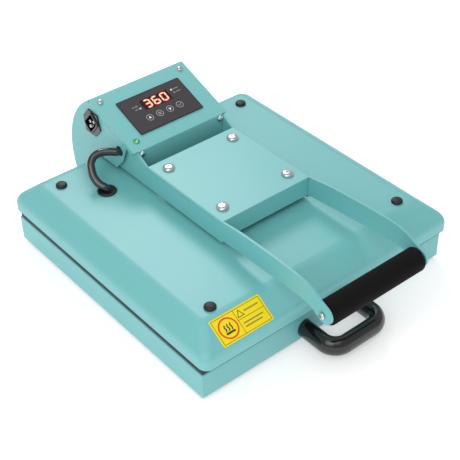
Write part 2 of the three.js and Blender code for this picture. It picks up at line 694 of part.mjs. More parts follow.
function coverBlock(inset, bottom) {
  const [side, front] = [COVER.inset + inset * 0.6, COVER.frontInset + inset * 0.6];
  return new ConvexGeometry([
    ...coverRing(inset, COVER.cornerRadius - inset, bottom),
    ...coverRing(inset, COVER.cornerRadius - inset, COVER.skirtTop - inset * 0.4),
    ...coverRing(side, COVER.topRadius, COVER.top - inset, front),
  ]);
}

function platenCover() {
  const inner = closed(coverBlock(SHEET, COVER.skirtBottom - 1));
  const cutDepth = COVER.top - 10;
  const holes = [
    ...boltPlaces().map(([, x, y]) => rod('z', [x, y, cutDepth], BOLTS.shankRadius + 0.4, 20)),
    ...plugPlaces().map(([, x, y]) => rod('z', [x, y, cutDepth], PLUG.shank + 0.4, 20)),
    rod('z', [GROMMET.x, GROMMET.y, cutDepth], 9.5, 20),
  ];
  return carve([coverBlock(0, COVER.skirtBottom)], [inner, ...holes]);
}

function plugPlaces() {
  return corners().map(([name, sx, sy]) => [name, sx * 154.6, COVER.centreY + sy * 155.8]);
}

// Rubber plug over one of the four screws that hold the cover down.
function coverPlug([, x, y]) {
  const { radius, shank, height } = PLUG;
  const profile = [[0, -6], [shank, -6], [shank, 0], [radius, 0], [radius, height * 0.5],
    [radius - 1.2, height * 0.85], [0, height]];
  return turned('z', [x, y, COVER.top + GAP], profile);
}

function leadGrommet() {
  const inner = LEAD_RADIUS + 0.5;
  const { radius, height } = GROMMET;
  const profile = [[inner, -5], [9, -5], [9, 0], [radius, 0], [radius, height * 0.6],
    [radius - 1, height], [inner + 4.5, height], [inner, -1], [inner, -5]];
  return turned('z', [GROMMET.x, GROMMET.y, COVER.top + GAP], profile, 16);
}

// Cast plate with four bosses that take the hanging bolts.
function heatPlaten() {
  const half = HEATER.size / 2;
  const plate = slabZ(roundedRectangle(2 * half, 2 * half, 8), HEATER_BOTTOM, HEATER_TOP, 4);
  const bossHeight = COVER.top - SHEET - GAP - HEATER_TOP;
  const places = boltPlaces();
  const bosses = places.map(([, x, y]) => rod('z', [x, y, HEATER_TOP - 1], BOSS_RADIUS, bossHeight + 1));
  const holes = places.map(([, x, y]) => rod('z', [x, y, HEATER_TOP + 2], BOLTS.shankRadius + 0.3, 40));
  return carve([plate, ...bosses], holes);
}

// Tubular heater laid in a long S on the platen.
function heatingElement() {
  const [runX, z] = [150, HEATER_TOP + 4 + GAP];
  const points = [];
  for (const [y, direction] of [[-140, 1], [-92, -1], [92, 1], [140, -1]]) {
    for (const k of [-1, -0.5, 0, 0.5, 1]) points.push(new THREE.Vector3(k * direction * runX, y, z));
  }
  return sweep(new THREE.CatmullRomCurve3(points, false, 'catmullrom', 0.4), 4, 4, 6, 40);
}

function insulation() {
  const [bottom, top] = [HEATER_TOP + 9.2, COVER.top - SHEET - 1.2];
  const sheet = slabZ(roundedRectangle(346, 340, 8, 0, COVER.centreY + 5), bottom, top, 3);
  const holes = boltPlaces().map(([, x, y]) => rod('z', [x, y, HEATER_TOP], BOSS_RADIUS + 0.6, 40));
  const leadHole = rod('z', [GROMMET.x, GROMMET.y, HEATER_TOP], 11, 40);
  const plugHoles = plugPlaces().map(([, x, y]) => rod('z', [x, y, HEATER_TOP], PLUG.shank + 2, 40));
  return carve([sheet], [...holes, leadHole, ...plugHoles]);
}

function platenBolt([, x, y]) {
  const shank = CHANNEL.top - HEATER_TOP - 4;
  const profile = panHeadProfile(BOLTS.headRadius, 4.2, BOLTS.shankRadius, shank);
  return turned('z', [x, y, CHANNEL.top + GAP], profile);
}

function floatSpring([, x, y]) {
  const wire = 1.3;
  const bottom = COVER.top + wire + 0.5;
  const length = CHANNEL.top - CHANNEL.thick - wire - 0.5 - bottom;
  return sweep(new Helix('z', new THREE.Vector3(x, y, bottom), 7.2, length, 4), wire, wire, 5, 28);
}

function buildPlaten() {
  add('platen_cover', platenCover(), MINT);
  add('heat_platen', heatPlaten(), HEATER_COAT);
  add('heating_element', heatingElement(), STEEL);
  add('insulation', insulation(), GLASS_WOOL);
  add('lead_grommet', leadGrommet(), BLACK_RUBBER);
  for (const place of boltPlaces()) {
    add(`platen_bolt_${place[0]}`, platenBolt(place), ZINC);
    add(`float_spring_${place[0]}`, floatSpring(place), STEEL);
  }
  for (const place of plugPlaces()) add(`cover_plug_${place[0]}`, coverPlug(place), BLACK_RUBBER);
}

buildBase();
buildArm();
buildControlBox();
buildPlaten();

const bounds = new THREE.Box3().setFromObject(press);
const middle = bounds.getCenter(new THREE.Vector3());
press.position.set(-middle.x, -middle.y, -bounds.min.z);

export default press;
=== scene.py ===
import math

import bpy
from mathutils import Matrix, Vector


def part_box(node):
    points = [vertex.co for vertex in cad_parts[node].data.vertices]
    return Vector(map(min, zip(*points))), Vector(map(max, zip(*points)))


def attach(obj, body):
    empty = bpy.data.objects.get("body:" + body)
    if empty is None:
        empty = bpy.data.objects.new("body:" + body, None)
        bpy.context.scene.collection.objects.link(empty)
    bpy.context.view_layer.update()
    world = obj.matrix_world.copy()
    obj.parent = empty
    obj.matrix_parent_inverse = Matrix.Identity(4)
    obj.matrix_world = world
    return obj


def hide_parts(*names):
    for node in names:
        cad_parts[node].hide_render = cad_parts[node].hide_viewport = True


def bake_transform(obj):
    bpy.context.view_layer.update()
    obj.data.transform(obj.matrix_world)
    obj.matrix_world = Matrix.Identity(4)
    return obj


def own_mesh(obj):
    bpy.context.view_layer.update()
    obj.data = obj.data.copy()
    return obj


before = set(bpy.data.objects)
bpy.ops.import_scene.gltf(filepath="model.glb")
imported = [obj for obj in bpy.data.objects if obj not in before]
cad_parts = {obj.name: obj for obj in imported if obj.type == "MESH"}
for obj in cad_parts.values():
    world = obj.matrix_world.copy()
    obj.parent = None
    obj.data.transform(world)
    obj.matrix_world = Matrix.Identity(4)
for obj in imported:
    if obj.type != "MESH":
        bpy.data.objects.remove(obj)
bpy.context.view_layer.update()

MM = 0.001
BASE_LOW, BASE_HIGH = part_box("base_shell")
# Middle of the base's lower edge: the point that every place below is measured from.
DATUM = Vector(((BASE_LOW.x + BASE_HIGH.x) / 2, (BASE_LOW.y + BASE_HIGH.y) / 2, BASE_LOW.z))

PANEL_TILT = math.radians(20.2)
PANEL_LOW_EDGE = (0, 93, 136.6)
Z_AXIS = Vector((0, 0, 1))


def at(x, y, z):
    """A place in millimetres from the datum, as metres in the press's own frame."""
    return DATUM + Vector((x, y, z)) * MM


# ---- camera ----
CAMERA_TURNS = (-39.22, 38.49, -0.89)  # azimuth, elevation, roll
CAMERA_DISTANCE = 1.51931
CAMERA_AIM = (23.98, 23.34, 0)
LENS = 86.34
SENSOR = 36


def make_camera():
    azimuth, elevation, roll = (math.radians(a) for a in CAMERA_TURNS)
    back = Vector((math.sin(azimuth) * math.cos(elevation),
                   -math.cos(azimuth) * math.cos(elevation), math.sin(elevation)))
    level = Z_AXIS.cross(back).normalized()
    upright = back.cross(level)
    right = level * math.cos(roll) + upright * math.sin(roll)
    up = upright * math.cos(roll) - level * math.sin(roll)
    data = bpy.data.cameras.new("camera")
    data.sensor_width = SENSOR
    data.lens = LENS
    camera = bpy.data.objects.new("camera", data)
    turn = Matrix((right, up, back)).transposed().to_4x4()
    camera.matrix_world = Matrix.Translation(at(*CAMERA_AIM) + back * CAMERA_DISTANCE) @ turn
    bpy.context.scene.collection.objects.link(camera)
    bpy.context.scene.camera = camera


make_camera()


# ---- modelling helpers ----
def select_only(*pieces):
    if bpy.context.object and bpy.context.object.mode != "OBJECT":
        bpy.ops.object.mode_set(mode="OBJECT")
    bpy.ops.object.select_all(action="DESELECT")
    for piece in pieces:
        piece.select_set(True)
    bpy.context.view_layer.objects.active = pieces[0]


def named(name):
    piece = bpy.context.object
    piece.name = name
    piece.data.name = name
    return piece


def block(name, low, high):
    """A box between two corners given in metres, ready for shaping."""
    bpy.ops.object.select_all(action="DESELECT")
    low, high = Vector(low), Vector(high)
    bpy.ops.mesh.primitive_cube_add(size=1, location=(low + high) / 2, scale=high - low)
    piece = named(name)
    bpy.ops.object.transform_apply(location=True, rotation=True, scale=True)
    return piece


def edit(piece, kind):
    """Edit mode on one piece with nothing selected, ready for `pick`."""
    select_only(piece)
    bpy.ops.object.mode_set(mode="EDIT")
    bpy.ops.mesh.select_mode(type=kind)
    bpy.ops.mesh.select_all(action="DESELECT")


def pick_faces(piece, test):
    edit(piece, "FACE")
    bpy.ops.object.mode_set(mode="OBJECT")
    for face in piece.data.polygons:
        face.select = bool(test(face.center, face.normal))
    bpy.ops.object.mode_set(mode="EDIT")


def pick_edges(piece, test):
    edit(piece, "EDGE")
    bpy.ops.object.mode_set(mode="OBJECT")
    places = [v.co.copy() for v in piece.data.vertices]
    for edge in piece.data.edges:
        a, b = (places[i] for i in edge.vertices)
        edge.select = bool(test((a + b) / 2, (b - a).normalized()))
    bpy.ops.object.mode_set(mode="EDIT")


def leave_edit():
    bpy.ops.object.mode_set(mode="OBJECT")


def round_edges(width, segments=3, profile=0.5):
    bpy.ops.mesh.bevel(offset=width, offset_type="OFFSET", segments=segments, profile=profile,
                       affect="EDGES")


def apply_modifier(piece, kind, **values):
    select_only(piece)
    modifier = piece.modifiers.new(kind.lower(), kind)
    for key, value in values.items():
        setattr(modifier, key, value)
    bpy.ops.object.modifier_apply(modifier=modifier.name)


def soften(piece, width, segments=2, angle=30):
    apply_modifier(piece, "BEVEL", width=width, segments=segments, limit_method="ANGLE",
                   angle_limit=math.radians(angle), harden_normals=False)


def stacked(name, levels, sides=32):
    """A turned piece about Z: each level is (radius, height) in mm, and the last face closes it."""
    bpy.ops.object.select_all(action="DESELECT")
    radius, height = levels[0]
    bpy.ops.mesh.primitive_circle_add(vertices=sides, radius=radius * MM, fill_type="NGON",
                                      location=(0, 0, height * MM))
    piece = named(name)
    bpy.ops.object.transform_apply(location=True, rotation=True, scale=True)
    bpy.ops.object.mode_set(mode="EDIT")
    bpy.ops.mesh.select_mode(type="FACE")
    bpy.ops.mesh.select_all(action="SELECT")
    for next_radius, next_height in levels[1:]:
        bpy.ops.mesh.extrude_region_move(
            TRANSFORM_OT_translate={"value": (0, 0, (next_height - height) * MM)})
        scale = next_radius / radius
        bpy.ops.transform.resize(value=(scale, scale, 1), center_override=(0, 0, next_height * MM))
        radius, height = next_radius, next_height
    bpy.ops.mesh.select_all(action="SELECT")
    bpy.ops.mesh.normals_make_consistent(inside=False)
    leave_edit()
    return piece


def place(piece, where, direction=(0, 0, 1), spin=0.0):
    """Turns a piece's +Z to `direction`, spun about it first, and puts its origin at `where`."""
    turn = Vector(direction).to_track_quat("Z", "Y").to_matrix().to_4x4()
    piece.matrix_world = Matrix.Translation(where) @ turn @ Matrix.Rotation(spin, 4, "Z")
    select_only(piece)
    bpy.ops.object.transform_apply(location=True, rotation=True, scale=True)
    return piece


def onto_panel(piece, x=0.0, up=0.0, out=0.0):
    """Takes a piece built flat at the origin to (x, up, out) mm on the sloping panel."""
    slope = Matrix.Rotation(PANEL_TILT, 4, "X")
    piece.matrix_world = (Matrix.Translation(at(*PANEL_LOW_EDGE)) @ slope
                          @ Matrix.Translation(Vector((x, up, out)) * MM))
    select_only(piece)
    bpy.ops.object.transform_apply(location=True, rotation=True, scale=True)
    return piece


def copy_of(piece, name):
    """A copy with its own mesh."""
    twin = piece.copy()
    twin.data = piece.data.copy()
    twin.name = name
    twin.data.name = name
    bpy.context.scene.collection.objects.link(twin)
    return twin


def cut_away(piece, cutter):
    apply_modifier(piece, "BOOLEAN", object=cutter, operation="DIFFERENCE", solver="EXACT")
    bpy.data.objects.remove(cutter)


def join(first, *others):
    select_only(first, *others)
    bpy.ops.object.join()
    return first


def done(piece, material, body, stands_for=(), angle=35):
    select_only(piece)
    bpy.ops.object.shade_smooth_by_angle(angle=math.radians(angle))
    piece.data.materials.clear()
    piece.data.materials.append(material)
    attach(piece, body)
    if stands_for:
        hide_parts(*stands_for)
    return piece


def softened(node, name, material, body, width=0.5, segments=2):
    """A merged copy of a CAD node with its arrises broken, for folded sheet and mouldings."""
    piece = copy_of(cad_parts[node], name)
    piece.parent = None
    select_only(piece)
    bpy.ops.object.mode_set(mode="EDIT")
    bpy.ops.mesh.select_all(action="SELECT")
    bpy.ops.mesh.remove_doubles(threshold=0.00002)
    bpy.ops.mesh.dissolve_limited(angle_limit=math.radians(1))
    leave_edit()
    soften(piece, width * MM, segments)
    done(piece, material, body, [node])
    even_normals(piece)
    return piece


def even_normals(piece):
    """Keeps broad flat faces flat beside their rounded edges."""
    apply_modifier(piece, "WEIGHTED_NORMAL", keep_sharp=True, weight=90)


def finish_cad(node, material):
    """A CAD node whose shape is right as it is gets its finish."""
    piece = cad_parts[node]
    piece.data.materials.clear()
    piece.data.materials.append(material)


def flat_ring(name, outer, inner, thick, sides=40):
    """A flat ring about Z, from height 0 to `thick`, in mm."""
    bpy.ops.object.select_all(action="DESELECT")
    bpy.ops.mesh.primitive_circle_add(vertices=sides, radius=outer * MM, fill_type="NGON")
    ring = named(name)
    bpy.ops.object.mode_set(mode="EDIT")
    bpy.ops.mesh.select_mode(type="FACE")
    bpy.ops.mesh.select_all(action="SELECT")
    bpy.ops.mesh.inset(thickness=(outer - inner) * math.cos(math.pi / sides) * MM)
    bpy.ops.mesh.delete(type="FACE")
    bpy.ops.mesh.select_all(action="SELECT")
    bpy.ops.mesh.extrude_region_move(TRANSFORM_OT_translate={"value": (0, 0, thick * MM)})
    bpy.ops.mesh.select_all(action="SELECT")
    bpy.ops.mesh.normals_make_consistent(inside=False)
    leave_edit()
    return ring


def flat_bar(name, width, height, thick, corner=0.2):
    """A flat bar lying on the XY plane, centred, with its corners cut."""
    bar = block(name, Vector((-width / 2, -height / 2, 0)) * MM,
                Vector((width / 2, height / 2, thick)) * MM)
    pick_edges(bar, lambda m, d: abs(d.z) > 0.9)
    round_edges(corner * MM, 1)
    leave_edit()
    return bar


def flat_triangle(name, radius, thick, turn=0.0):
    triangle = stacked(name, [(radius, 0), (radius, thick * 0.8), (radius * 0.94, thick)], 3)
    return shifted(triangle, turn=turn)


def shifted(piece, x=0.0, y=0.0, z=0.0, turn=0.0):
    """Turns a piece about Z and then moves it, in mm."""
    piece.matrix_world = Matrix.Translation(Vector((x, y, z)) * MM) @ Matrix.Rotation(turn, 4, "Z")
    select_only(piece)
    bpy.ops.object.transform_apply(location=True, rotation=True, scale=True)
    return piece


def painted(piece, material):
    piece.data.materials.clear()
    piece.data.materials.append(material)
    return piece


def join_painted(name, body, parts, stands_for=()):
    """Joins pieces that already have their paint, and hands the whole to a body."""
    whole = join(*parts)
    whole.name = name
    whole.data.name = name
    select_only(whole)
    bpy.ops.object.shade_smooth_by_angle(angle=math.radians(35))
    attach(whole, body)
    if stands_for:
        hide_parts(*stands_for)
    return whole


# ---- shared effects ----
def new_group(name, inputs, outputs):
    group = bpy.data.node_groups.new(name, "ShaderNodeTree")
    for label, kind, default in inputs:
        socket = group.interface.new_socket(name=label, in_out="INPUT", socket_type=kind)
        socket.default_value = default
    for label, kind in outputs:
        group.interface.new_socket(name=label, in_out="OUTPUT", socket_type=kind)
    return group, group.nodes.new("NodeGroupInput"), group.nodes.new("NodeGroupOutput")


def noise(nodes, links, scale_socket, detail, coordinates):
    texture = nodes.new("ShaderNodeTexNoise")
    texture.inputs["Detail"].default_value = detail
    links.new(scale_socket, texture.inputs["Scale"])
    links.new(coordinates, texture.inputs["Vector"])
    return texture.outputs["Fac"]


def make_surface_group():
    """Two scales of unevenness: a broad tone drift, and a fine grain for relief and gloss."""
    group, given, result = new_group(
        "uneven_surface",
        [("Broad Scale", "NodeSocketFloat", 8.0), ("Fine Scale", "NodeSocketFloat", 900.0),
         ("Base", "NodeSocketColor", (1, 1, 1, 1)), ("Drift", "NodeSocketFloat", 0.05),
         ("Roughness", "NodeSocketFloat", 0.5), ("Roughness Spread", "NodeSocketFloat", 0.08)],
        [("Color", "NodeSocketColor"), ("Roughness", "NodeSocketFloat"), ("Height", "NodeSocketFloat")])
    nodes, links = group.nodes, group.links
    coordinates = nodes.new("ShaderNodeTexCoord").outputs["Object"]
    broad = noise(nodes, links, given.outputs["Broad Scale"], 3.0, coordinates)
    fine = noise(nodes, links, given.outputs["Fine Scale"], 2.0, coordinates)
    centred = nodes.new("ShaderNodeMath")
    centred.operation = "MULTIPLY_ADD"
    links.new(broad, centred.inputs[0])
    centred.inputs[1].default_value = 2.0
    centred.inputs[2].default_value = -1.0
    drift = nodes.new("ShaderNodeMath")
    drift.operation = "MULTIPLY_ADD"
    links.new(centred.outputs[0], drift.inputs[0])
    links.new(given.outputs["Drift"], drift.inputs[1])
    drift.inputs[2].default_value = 1.0
    toned = nodes.new("ShaderNodeVectorMath")
    toned.operation = "SCALE"
    links.new(given.outputs["Base"], toned.inputs[0])
    links.new(drift.outputs[0], toned.inputs["Scale"])
    links.new(toned.outputs[0], result.inputs["Color"])
    mixed = nodes.new("ShaderNodeMath")
    mixed.operation = "MULTIPLY_ADD"
    both = nodes.new("ShaderNodeMath")
    both.operation = "ADD"
    links.new(broad, both.inputs[0])
    links.new(fine, both.inputs[1])
    spread = nodes.new("ShaderNodeMath")
    spread.operation = "SUBTRACT"
    links.new(both.outputs[0], spread.inputs[0])
    spread.inputs[1].default_value = 1.0
    links.new(spread.outputs[0], mixed.inputs[0])
    links.new(given.outputs["Roughness Spread"], mixed.inputs[1])
    links.new(given.outputs["Roughness"], mixed.inputs[2])
    links.new(mixed.outputs[0], result.inputs["Roughness"])
    links.new(fine, result.inputs["Height"])
    return group


SURFACE = make_surface_group()


def finish(name, color, roughness, metallic=0.0, drift=0.04, spread=0.1, broad=9.0, fine=900.0,
           relief=0.1, depth=0.0001, coat=0.0, coat_roughness=0.1, specular=0.5):
    material = bpy.data.materials.new(name)
    material.use_nodes = True
    nodes, links = material.node_tree.nodes, material.node_tree.links
    shader = nodes["Principled BSDF"]
    surface = nodes.new("ShaderNodeGroup")
    surface.node_tree = SURFACE
    surface.inputs["Base"].default_value = (*color, 1)
    surface.inputs["Drift"].default_value = drift
    surface.inputs["Roughness"].default_value = roughness
    surface.inputs["Roughness Spread"].default_value = spread
    surface.inputs["Broad Scale"].default_value = broad
    surface.inputs["Fine Scale"].default_value = fine
    bump = nodes.new("ShaderNodeBump")
    bump.inputs["Strength"].default_value = relief
    bump.inputs["Distance"].default_value = depth
    links.new(surface.outputs["Color"], shader.inputs["Base Color"])
    links.new(surface.outputs["Roughness"], shader.inputs["Roughness"])
    links.new(surface.outputs["Height"], bump.inputs["Height"])
    links.new(bump.outputs["Normal"], shader.inputs["Normal"])
    shader.inputs["Metallic"].default_value = metallic
    shader.inputs["Coat Weight"].default_value = coat
    shader.inputs["Coat Roughness"].default_value = coat_roughness
    shader.inputs["Specular IOR Level"].default_value = specular
    return material


def glowing(name, color, strength):
    material = finish(name, color, 0.5)
    shader = material.node_tree.nodes["Principled BSDF"]
    shader.inputs["Emission Color"].default_value = (*color, 1)
    shader.inputs["Emission Strength"].default_value = strength
    return material


MINT = finish("mint_powder_coat", (0.168, 0.515, 0.525), 0.48, drift=0.03, spread=0.10, fine=1100,
              relief=0.2, depth=0.00012, broad=5, specular=0.75, coat=0.12, coat_roughness=0.25)
ZINC = finish("bright_zinc", (0.66, 0.65, 0.63), 0.24, metallic=1.0, drift=0.08, spread=0.15, fine=600,
              relief=0.05)
STEEL = finish("plain_steel", (0.40, 0.40, 0.41), 0.38, metallic=1.0, drift=0.1, spread=0.2, fine=500)
RUBBER = finish("moulded_rubber", (0.009, 0.009, 0.010), 0.5, drift=0.2, fine=1500, relief=0.25)
SILICONE = finish("silicone_sheet", (0.022, 0.022, 0.023), 0.6, drift=0.15, fine=700)
GLOSS_BLACK = finish("polished_black", (0.007, 0.007, 0.008), 0.18, drift=0.1, spread=0.05, fine=350,
                     relief=0.04, coat=0.3)
SLEEVE = finish("lead_sleeve", (0.004, 0.0035, 0.004), 0.16, drift=0.2, spread=0.08, fine=260, relief=0.2,
                depth=0.0003, coat=1.0, coat_roughness=0.06)
FOAM = finish("grip_foam", (0.004, 0.0037, 0.0038), 0.9, drift=0.35, spread=0.1, fine=1300, relief=0.8,
              depth=0.0004, specular=0.2)
COATED = finish("non_stick_coat", (0.025, 0.025, 0.027), 0.45, metallic=0.3, drift=0.15, fine=700)
FILM = finish("overlay_film", (0.050, 0.045, 0.050), 0.55, drift=0.04, fine=1600, relief=0.1,
              specular=0.25)
FILM_EDGE = finish("overlay_border", (0.006, 0.006, 0.007), 0.5, specular=0.25)
INK = finish("pale_ink", (0.42, 0.40, 0.43), 0.5)
BRIGHT_INK = finish("white_ink", (0.85, 0.84, 0.86), 0.5)
BRONZE = finish("sintered_bronze", (0.42, 0.25, 0.09), 0.45, metallic=1.0, drift=0.2)
BOARD = finish("solder_mask", (0.02, 0.11, 0.05), 0.4)
WOOL = finish("glass_wool", (0.72, 0.68, 0.55), 0.95, drift=0.2, fine=300, relief=0.9, depth=0.001)
YELLOW = finish("label_yellow", (0.95, 0.74, 0.01), 0.55, drift=0.02, specular=0.25)
LABEL_RED = finish("label_red", (0.85, 0.06, 0.01), 0.5)
LABEL_BLACK = finish("label_black", (0.03, 0.025, 0.01), 0.5)
LABEL_GREY = finish("label_grey", (0.30, 0.24, 0.04), 0.5)
DOT_GREEN = finish("dot_green", (0.03, 0.35, 0.10), 0.5)
WINDOW = finish("smoked_window", (0.010, 0.006, 0.008), 0.4, specular=0.2)
DIGIT = glowing("digit_glow", (0.80, 0.09, 0.03), 0.9)
DIGIT_CORE = glowing("digit_core", (1.0, 0.50, 0.38), 1.25)
LAMP = glowing("lamp_glow", (1.0, 0.40, 0.40), 1.2)


# ---- heater lead ----
LEAD_RADIUS = 5.5
LEAD_ROUTE = [
    (-79.0, 125.2, 124.2), (-81.3, 125.6, 124.4), (-84, 126.2, 124.8), (-89, 129.8, 125.8),
    (-97, 134.3, 126.4), (-105.5, 137, 125.8), (-112.5, 137.4, 123), (-118.2, 135, 117.6),
    (-121.2, 130, 111), (-122.7, 124, 104.5), (-122.2, 117.5, 99.4), (-119.9, 111.6, 95.8),
    (-117, 107.4, 93.4), (-115.8, 105.8, 89),
]


def smooth_route(points, steps):
    """Catmull-Rom points along a route, in metres."""
    points = [at(*p) for p in points]
    padded = [points[0] * 2 - points[1], *points, points[-1] * 2 - points[-2]]
    route = []
    for a, b, c, d in zip(padded, padded[1:], padded[2:], padded[3:]):
        for i in range(steps):
            t = i / steps
            route.append(0.5 * (2 * b + (c - a) * t + (2 * a - 5 * b + 4 * c - d) * t ** 2
                                + (3 * b - a - 3 * c + d) * t ** 3))
    route.append(points[-1])
    return route


def make_lead():
    route = smooth_route(LEAD_ROUTE, 5)
    data = bpy.data.curves.new("power_lead", "CURVE")
    data.dimensions = "3D"
    spline = data.splines.new("POLY")
    spline.points.add(len(route) - 1)
    for point, where in zip(spline.points, route):
        point.co = (*where, 1)
    data.bevel_depth = LEAD_RADIUS * MM
    data.bevel_resolution = 6
    data.use_fill_caps = True
    lead = bpy.data.objects.new("power_lead", data)
    bpy.context.scene.collection.objects.link(lead)
    select_only(lead)
    bpy.ops.object.convert(target="MESH")
    lead = bpy.context.object
    bpy.ops.object.shade_smooth_by_angle(angle=math.radians(40))
    lead.data.materials.clear()
    lead.data.materials.append(SLEEVE)
    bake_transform(lead)
    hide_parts("heater_lead")


make_lead()


# ---- base ----
SHEET_THICK = 1.5


def make_base_shell():
    shell = block("base_case", BASE_LOW, BASE_HIGH)
    pick_faces(shell, lambda c, n: n.z < -0.9)
    bpy.ops.mesh.delete(type="FACE")
    pick_edges(shell, lambda m, d: abs(d.z) > 0.9 or m.z > BASE_HIGH.z - 0.001)
    round_edges(1.4 * MM, 3)
    leave_edit()
    apply_modifier(shell, "SOLIDIFY", thickness=SHEET_THICK * MM, offset=-1)
    done(shell, MINT, "base", ["base_shell"])
    even_normals(shell)


def make_carry_handle():
    """An oval bar swept out from the base, round two bends and back."""
    leg, front, height, bend = 41.5, -249.3, 15, 19
    wall = -197.0
    bpy.ops.object.select_all(action="DESELECT")
    bpy.ops.mesh.primitive_circle_add(vertices=32, radius=1, fill_type="NOTHING",
                                      location=at(-leg, wall, height), rotation=(math.pi / 2, 0, 0))
    bar = named("lift_handle")
    bar.scale = (10.5 * MM, 13.2 * MM, 1)
    bpy.ops.object.transform_apply(location=True, rotation=True, scale=True)
    bpy.ops.object.mode_set(mode="EDIT")
    bpy.ops.mesh.select_all(action="SELECT")
    reach = (abs(front) - bend) - abs(wall)
    slide(0, -reach)
    quarter_turn(at(-leg + bend, front + bend, height))
    slide(2 * (leg - bend), 0)
    quarter_turn(at(leg - bend, front + bend, height))
    slide(0, reach)
    bpy.ops.mesh.select_all(action="SELECT")
    bpy.ops.mesh.remove_doubles(threshold=0.00001)
    bpy.ops.mesh.normals_make_consistent(inside=False)
    leave_edit()
    done(bar, GLOSS_BLACK, "base", ["carry_handle"], angle=50)


def slide(dx, dy):
    bpy.ops.mesh.extrude_region_move(TRANSFORM_OT_translate={"value": (dx * MM, dy * MM, 0)})


def quarter_turn(centre):
    bpy.ops.mesh.spin(steps=10, angle=math.pi / 2, center=centre, axis=(0, 0, -1))


make_base_shell()
make_carry_handle()
softened("silicone_pad", "press_pad", SILICONE, "base", 0.8)
finish_cad("base_bottom_plate", STEEL)
finish_cad("hinge_shaft", STEEL)
finish_cad("torsion_spring", STEEL)
for side in ("left", "right"):
    softened(f"hinge_bracket_{side}", f"hinge_ear_{side}", STEEL, "base")
    finish_cad(f"hinge_bush_{side}", BRONZE)
for corner in ("front_left", "front_right", "rear_left", "rear_right"):
    softened(f"foot_{corner}", f"rest_{corner}", RUBBER, "base")


# ---- platen ----
COVER_LOW, COVER_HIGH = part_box("platen_cover")
COVER_RISE = 21.5
COVER_INSET = 24.7
FRONT_INSET = 35
COVER_CORNER = 12
CREASE_WIDTH = 7


def make_cover():
    skirt_top = COVER_HIGH.z - COVER_RISE * MM
    cover = block("platen_hood", COVER_LOW, (COVER_HIGH.x, COVER_HIGH.y, skirt_top))
    pick_edges(cover, lambda m, d: abs(d.z) > 0.9)
    round_edges(COVER_CORNER * MM, 10)
    pick_faces(cover, lambda c, n: n.z > 0.9)
    bpy.ops.mesh.extrude_region_move(TRANSFORM_OT_translate={"value": (0, 0, COVER_RISE * MM)})
    size = COVER_HIGH - COVER_LOW
    shrink_y = (COVER_INSET + FRONT_INSET) * MM / size.y
    keep_y = COVER_LOW.y + FRONT_INSET * MM / shrink_y
    bpy.ops.transform.resize(value=(1 - 2 * COVER_INSET * MM / size.x, 1 - shrink_y, 1),
                             center_override=((COVER_LOW.x + COVER_HIGH.x) / 2, keep_y, COVER_HIGH.z))
    pick_faces(cover, lambda c, n: n.z < -0.9)
    bpy.ops.mesh.delete(type="FACE")
    pick_edges(cover, lambda m, d: abs(d.z) < 0.05 and m.z > COVER_LOW.z + 0.005)
    round_edges(CREASE_WIDTH * MM, 7)
    leave_edit()
    apply_modifier(cover, "SOLIDIFY", thickness=SHEET_THICK * MM, offset=-1)
    pick_edges(cover, lambda m, d: abs(d.z) < 0.05 and m.z < COVER_LOW.z + 0.0005)
    round_edges(0.4 * MM, 2)
    leave_edit()
    done(cover, MINT, "platen", ["platen_cover"], angle=40)
    even_normals(cover)


def make_plugs():
    pattern = stacked("plug", [(5, -4), (5, 0.1), (7.3, 0.1), (7.6, 0.5), (7.6, 2.0), (7.2, 3.0),
                               (6.4, 3.8), (5.0, 4.3), (3.0, 4.55), (0.6, 4.65)], 40)
    for corner in ("front_left", "front_right", "rear_left", "rear_right"):
        low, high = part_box(f"cover_plug_{corner}")
        plug = copy_of(pattern, f"plug_{corner}")
        place(plug, Vector(((low.x + high.x) / 2, (low.y + high.y) / 2, COVER_HIGH.z)))
        done(plug, RUBBER, "platen", [f"cover_plug_{corner}"])
    bpy.data.objects.remove(pattern)


def make_grommet():
    low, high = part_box("lead_grommet")
    ring = stacked("lead_ring", [(9, -4), (9, 0.1), (12.7, 0.1), (13, 0.5), (13, 1.4), (12.5, 2.1),
                                 (11.4, 2.45), (10.2, 2.3), (9.4, 1.7), (8.8, 1.3), (3.0, 1.1)], 48)
    place(ring, Vector(((low.x + high.x) / 2, (low.y + high.y) / 2, COVER_HIGH.z)))
    done(ring, RUBBER, "platen", ["lead_grommet"])


def cross_recess(piece, length, width, depth, top):
    """Cuts a screwdriver cross into a head whose top is at height `top`."""
    for turn in (0, math.pi / 2):
        cutter = block("cutter", Vector((-length / 2, -width / 2, top - depth)) * MM,
                       Vector((length / 2, width / 2, top + 2)) * MM)
        pick_faces(cutter, lambda c, n: n.z < -0.9)
        bpy.ops.transform.resize(value=(0.35, 0.8, 1))
        leave_edit()
        cutter.rotation_euler.z = turn
        select_only(cutter)
        bpy.ops.object.transform_apply(location=True, rotation=True, scale=True)
        cut_away(piece, cutter)


def pan_head(name, radius, height, shank_radius, shank_length, sides=40):
    dome = [(radius * math.cos(math.radians(a)) ** 0.6, height * (0.35 + 0.65 * math.sin(math.radians(a))))
            for a in (12, 30, 48, 64, 78)]
    head = stacked(name, [(shank_radius, -shank_length), (shank_radius, 0), (radius * 0.96, 0),
                          (radius, height * 0.1), (radius, height * 0.35), *dome], sides)
    cross_recess(head, radius * 0.95, radius * 0.2, height * 0.5, height)
    return head


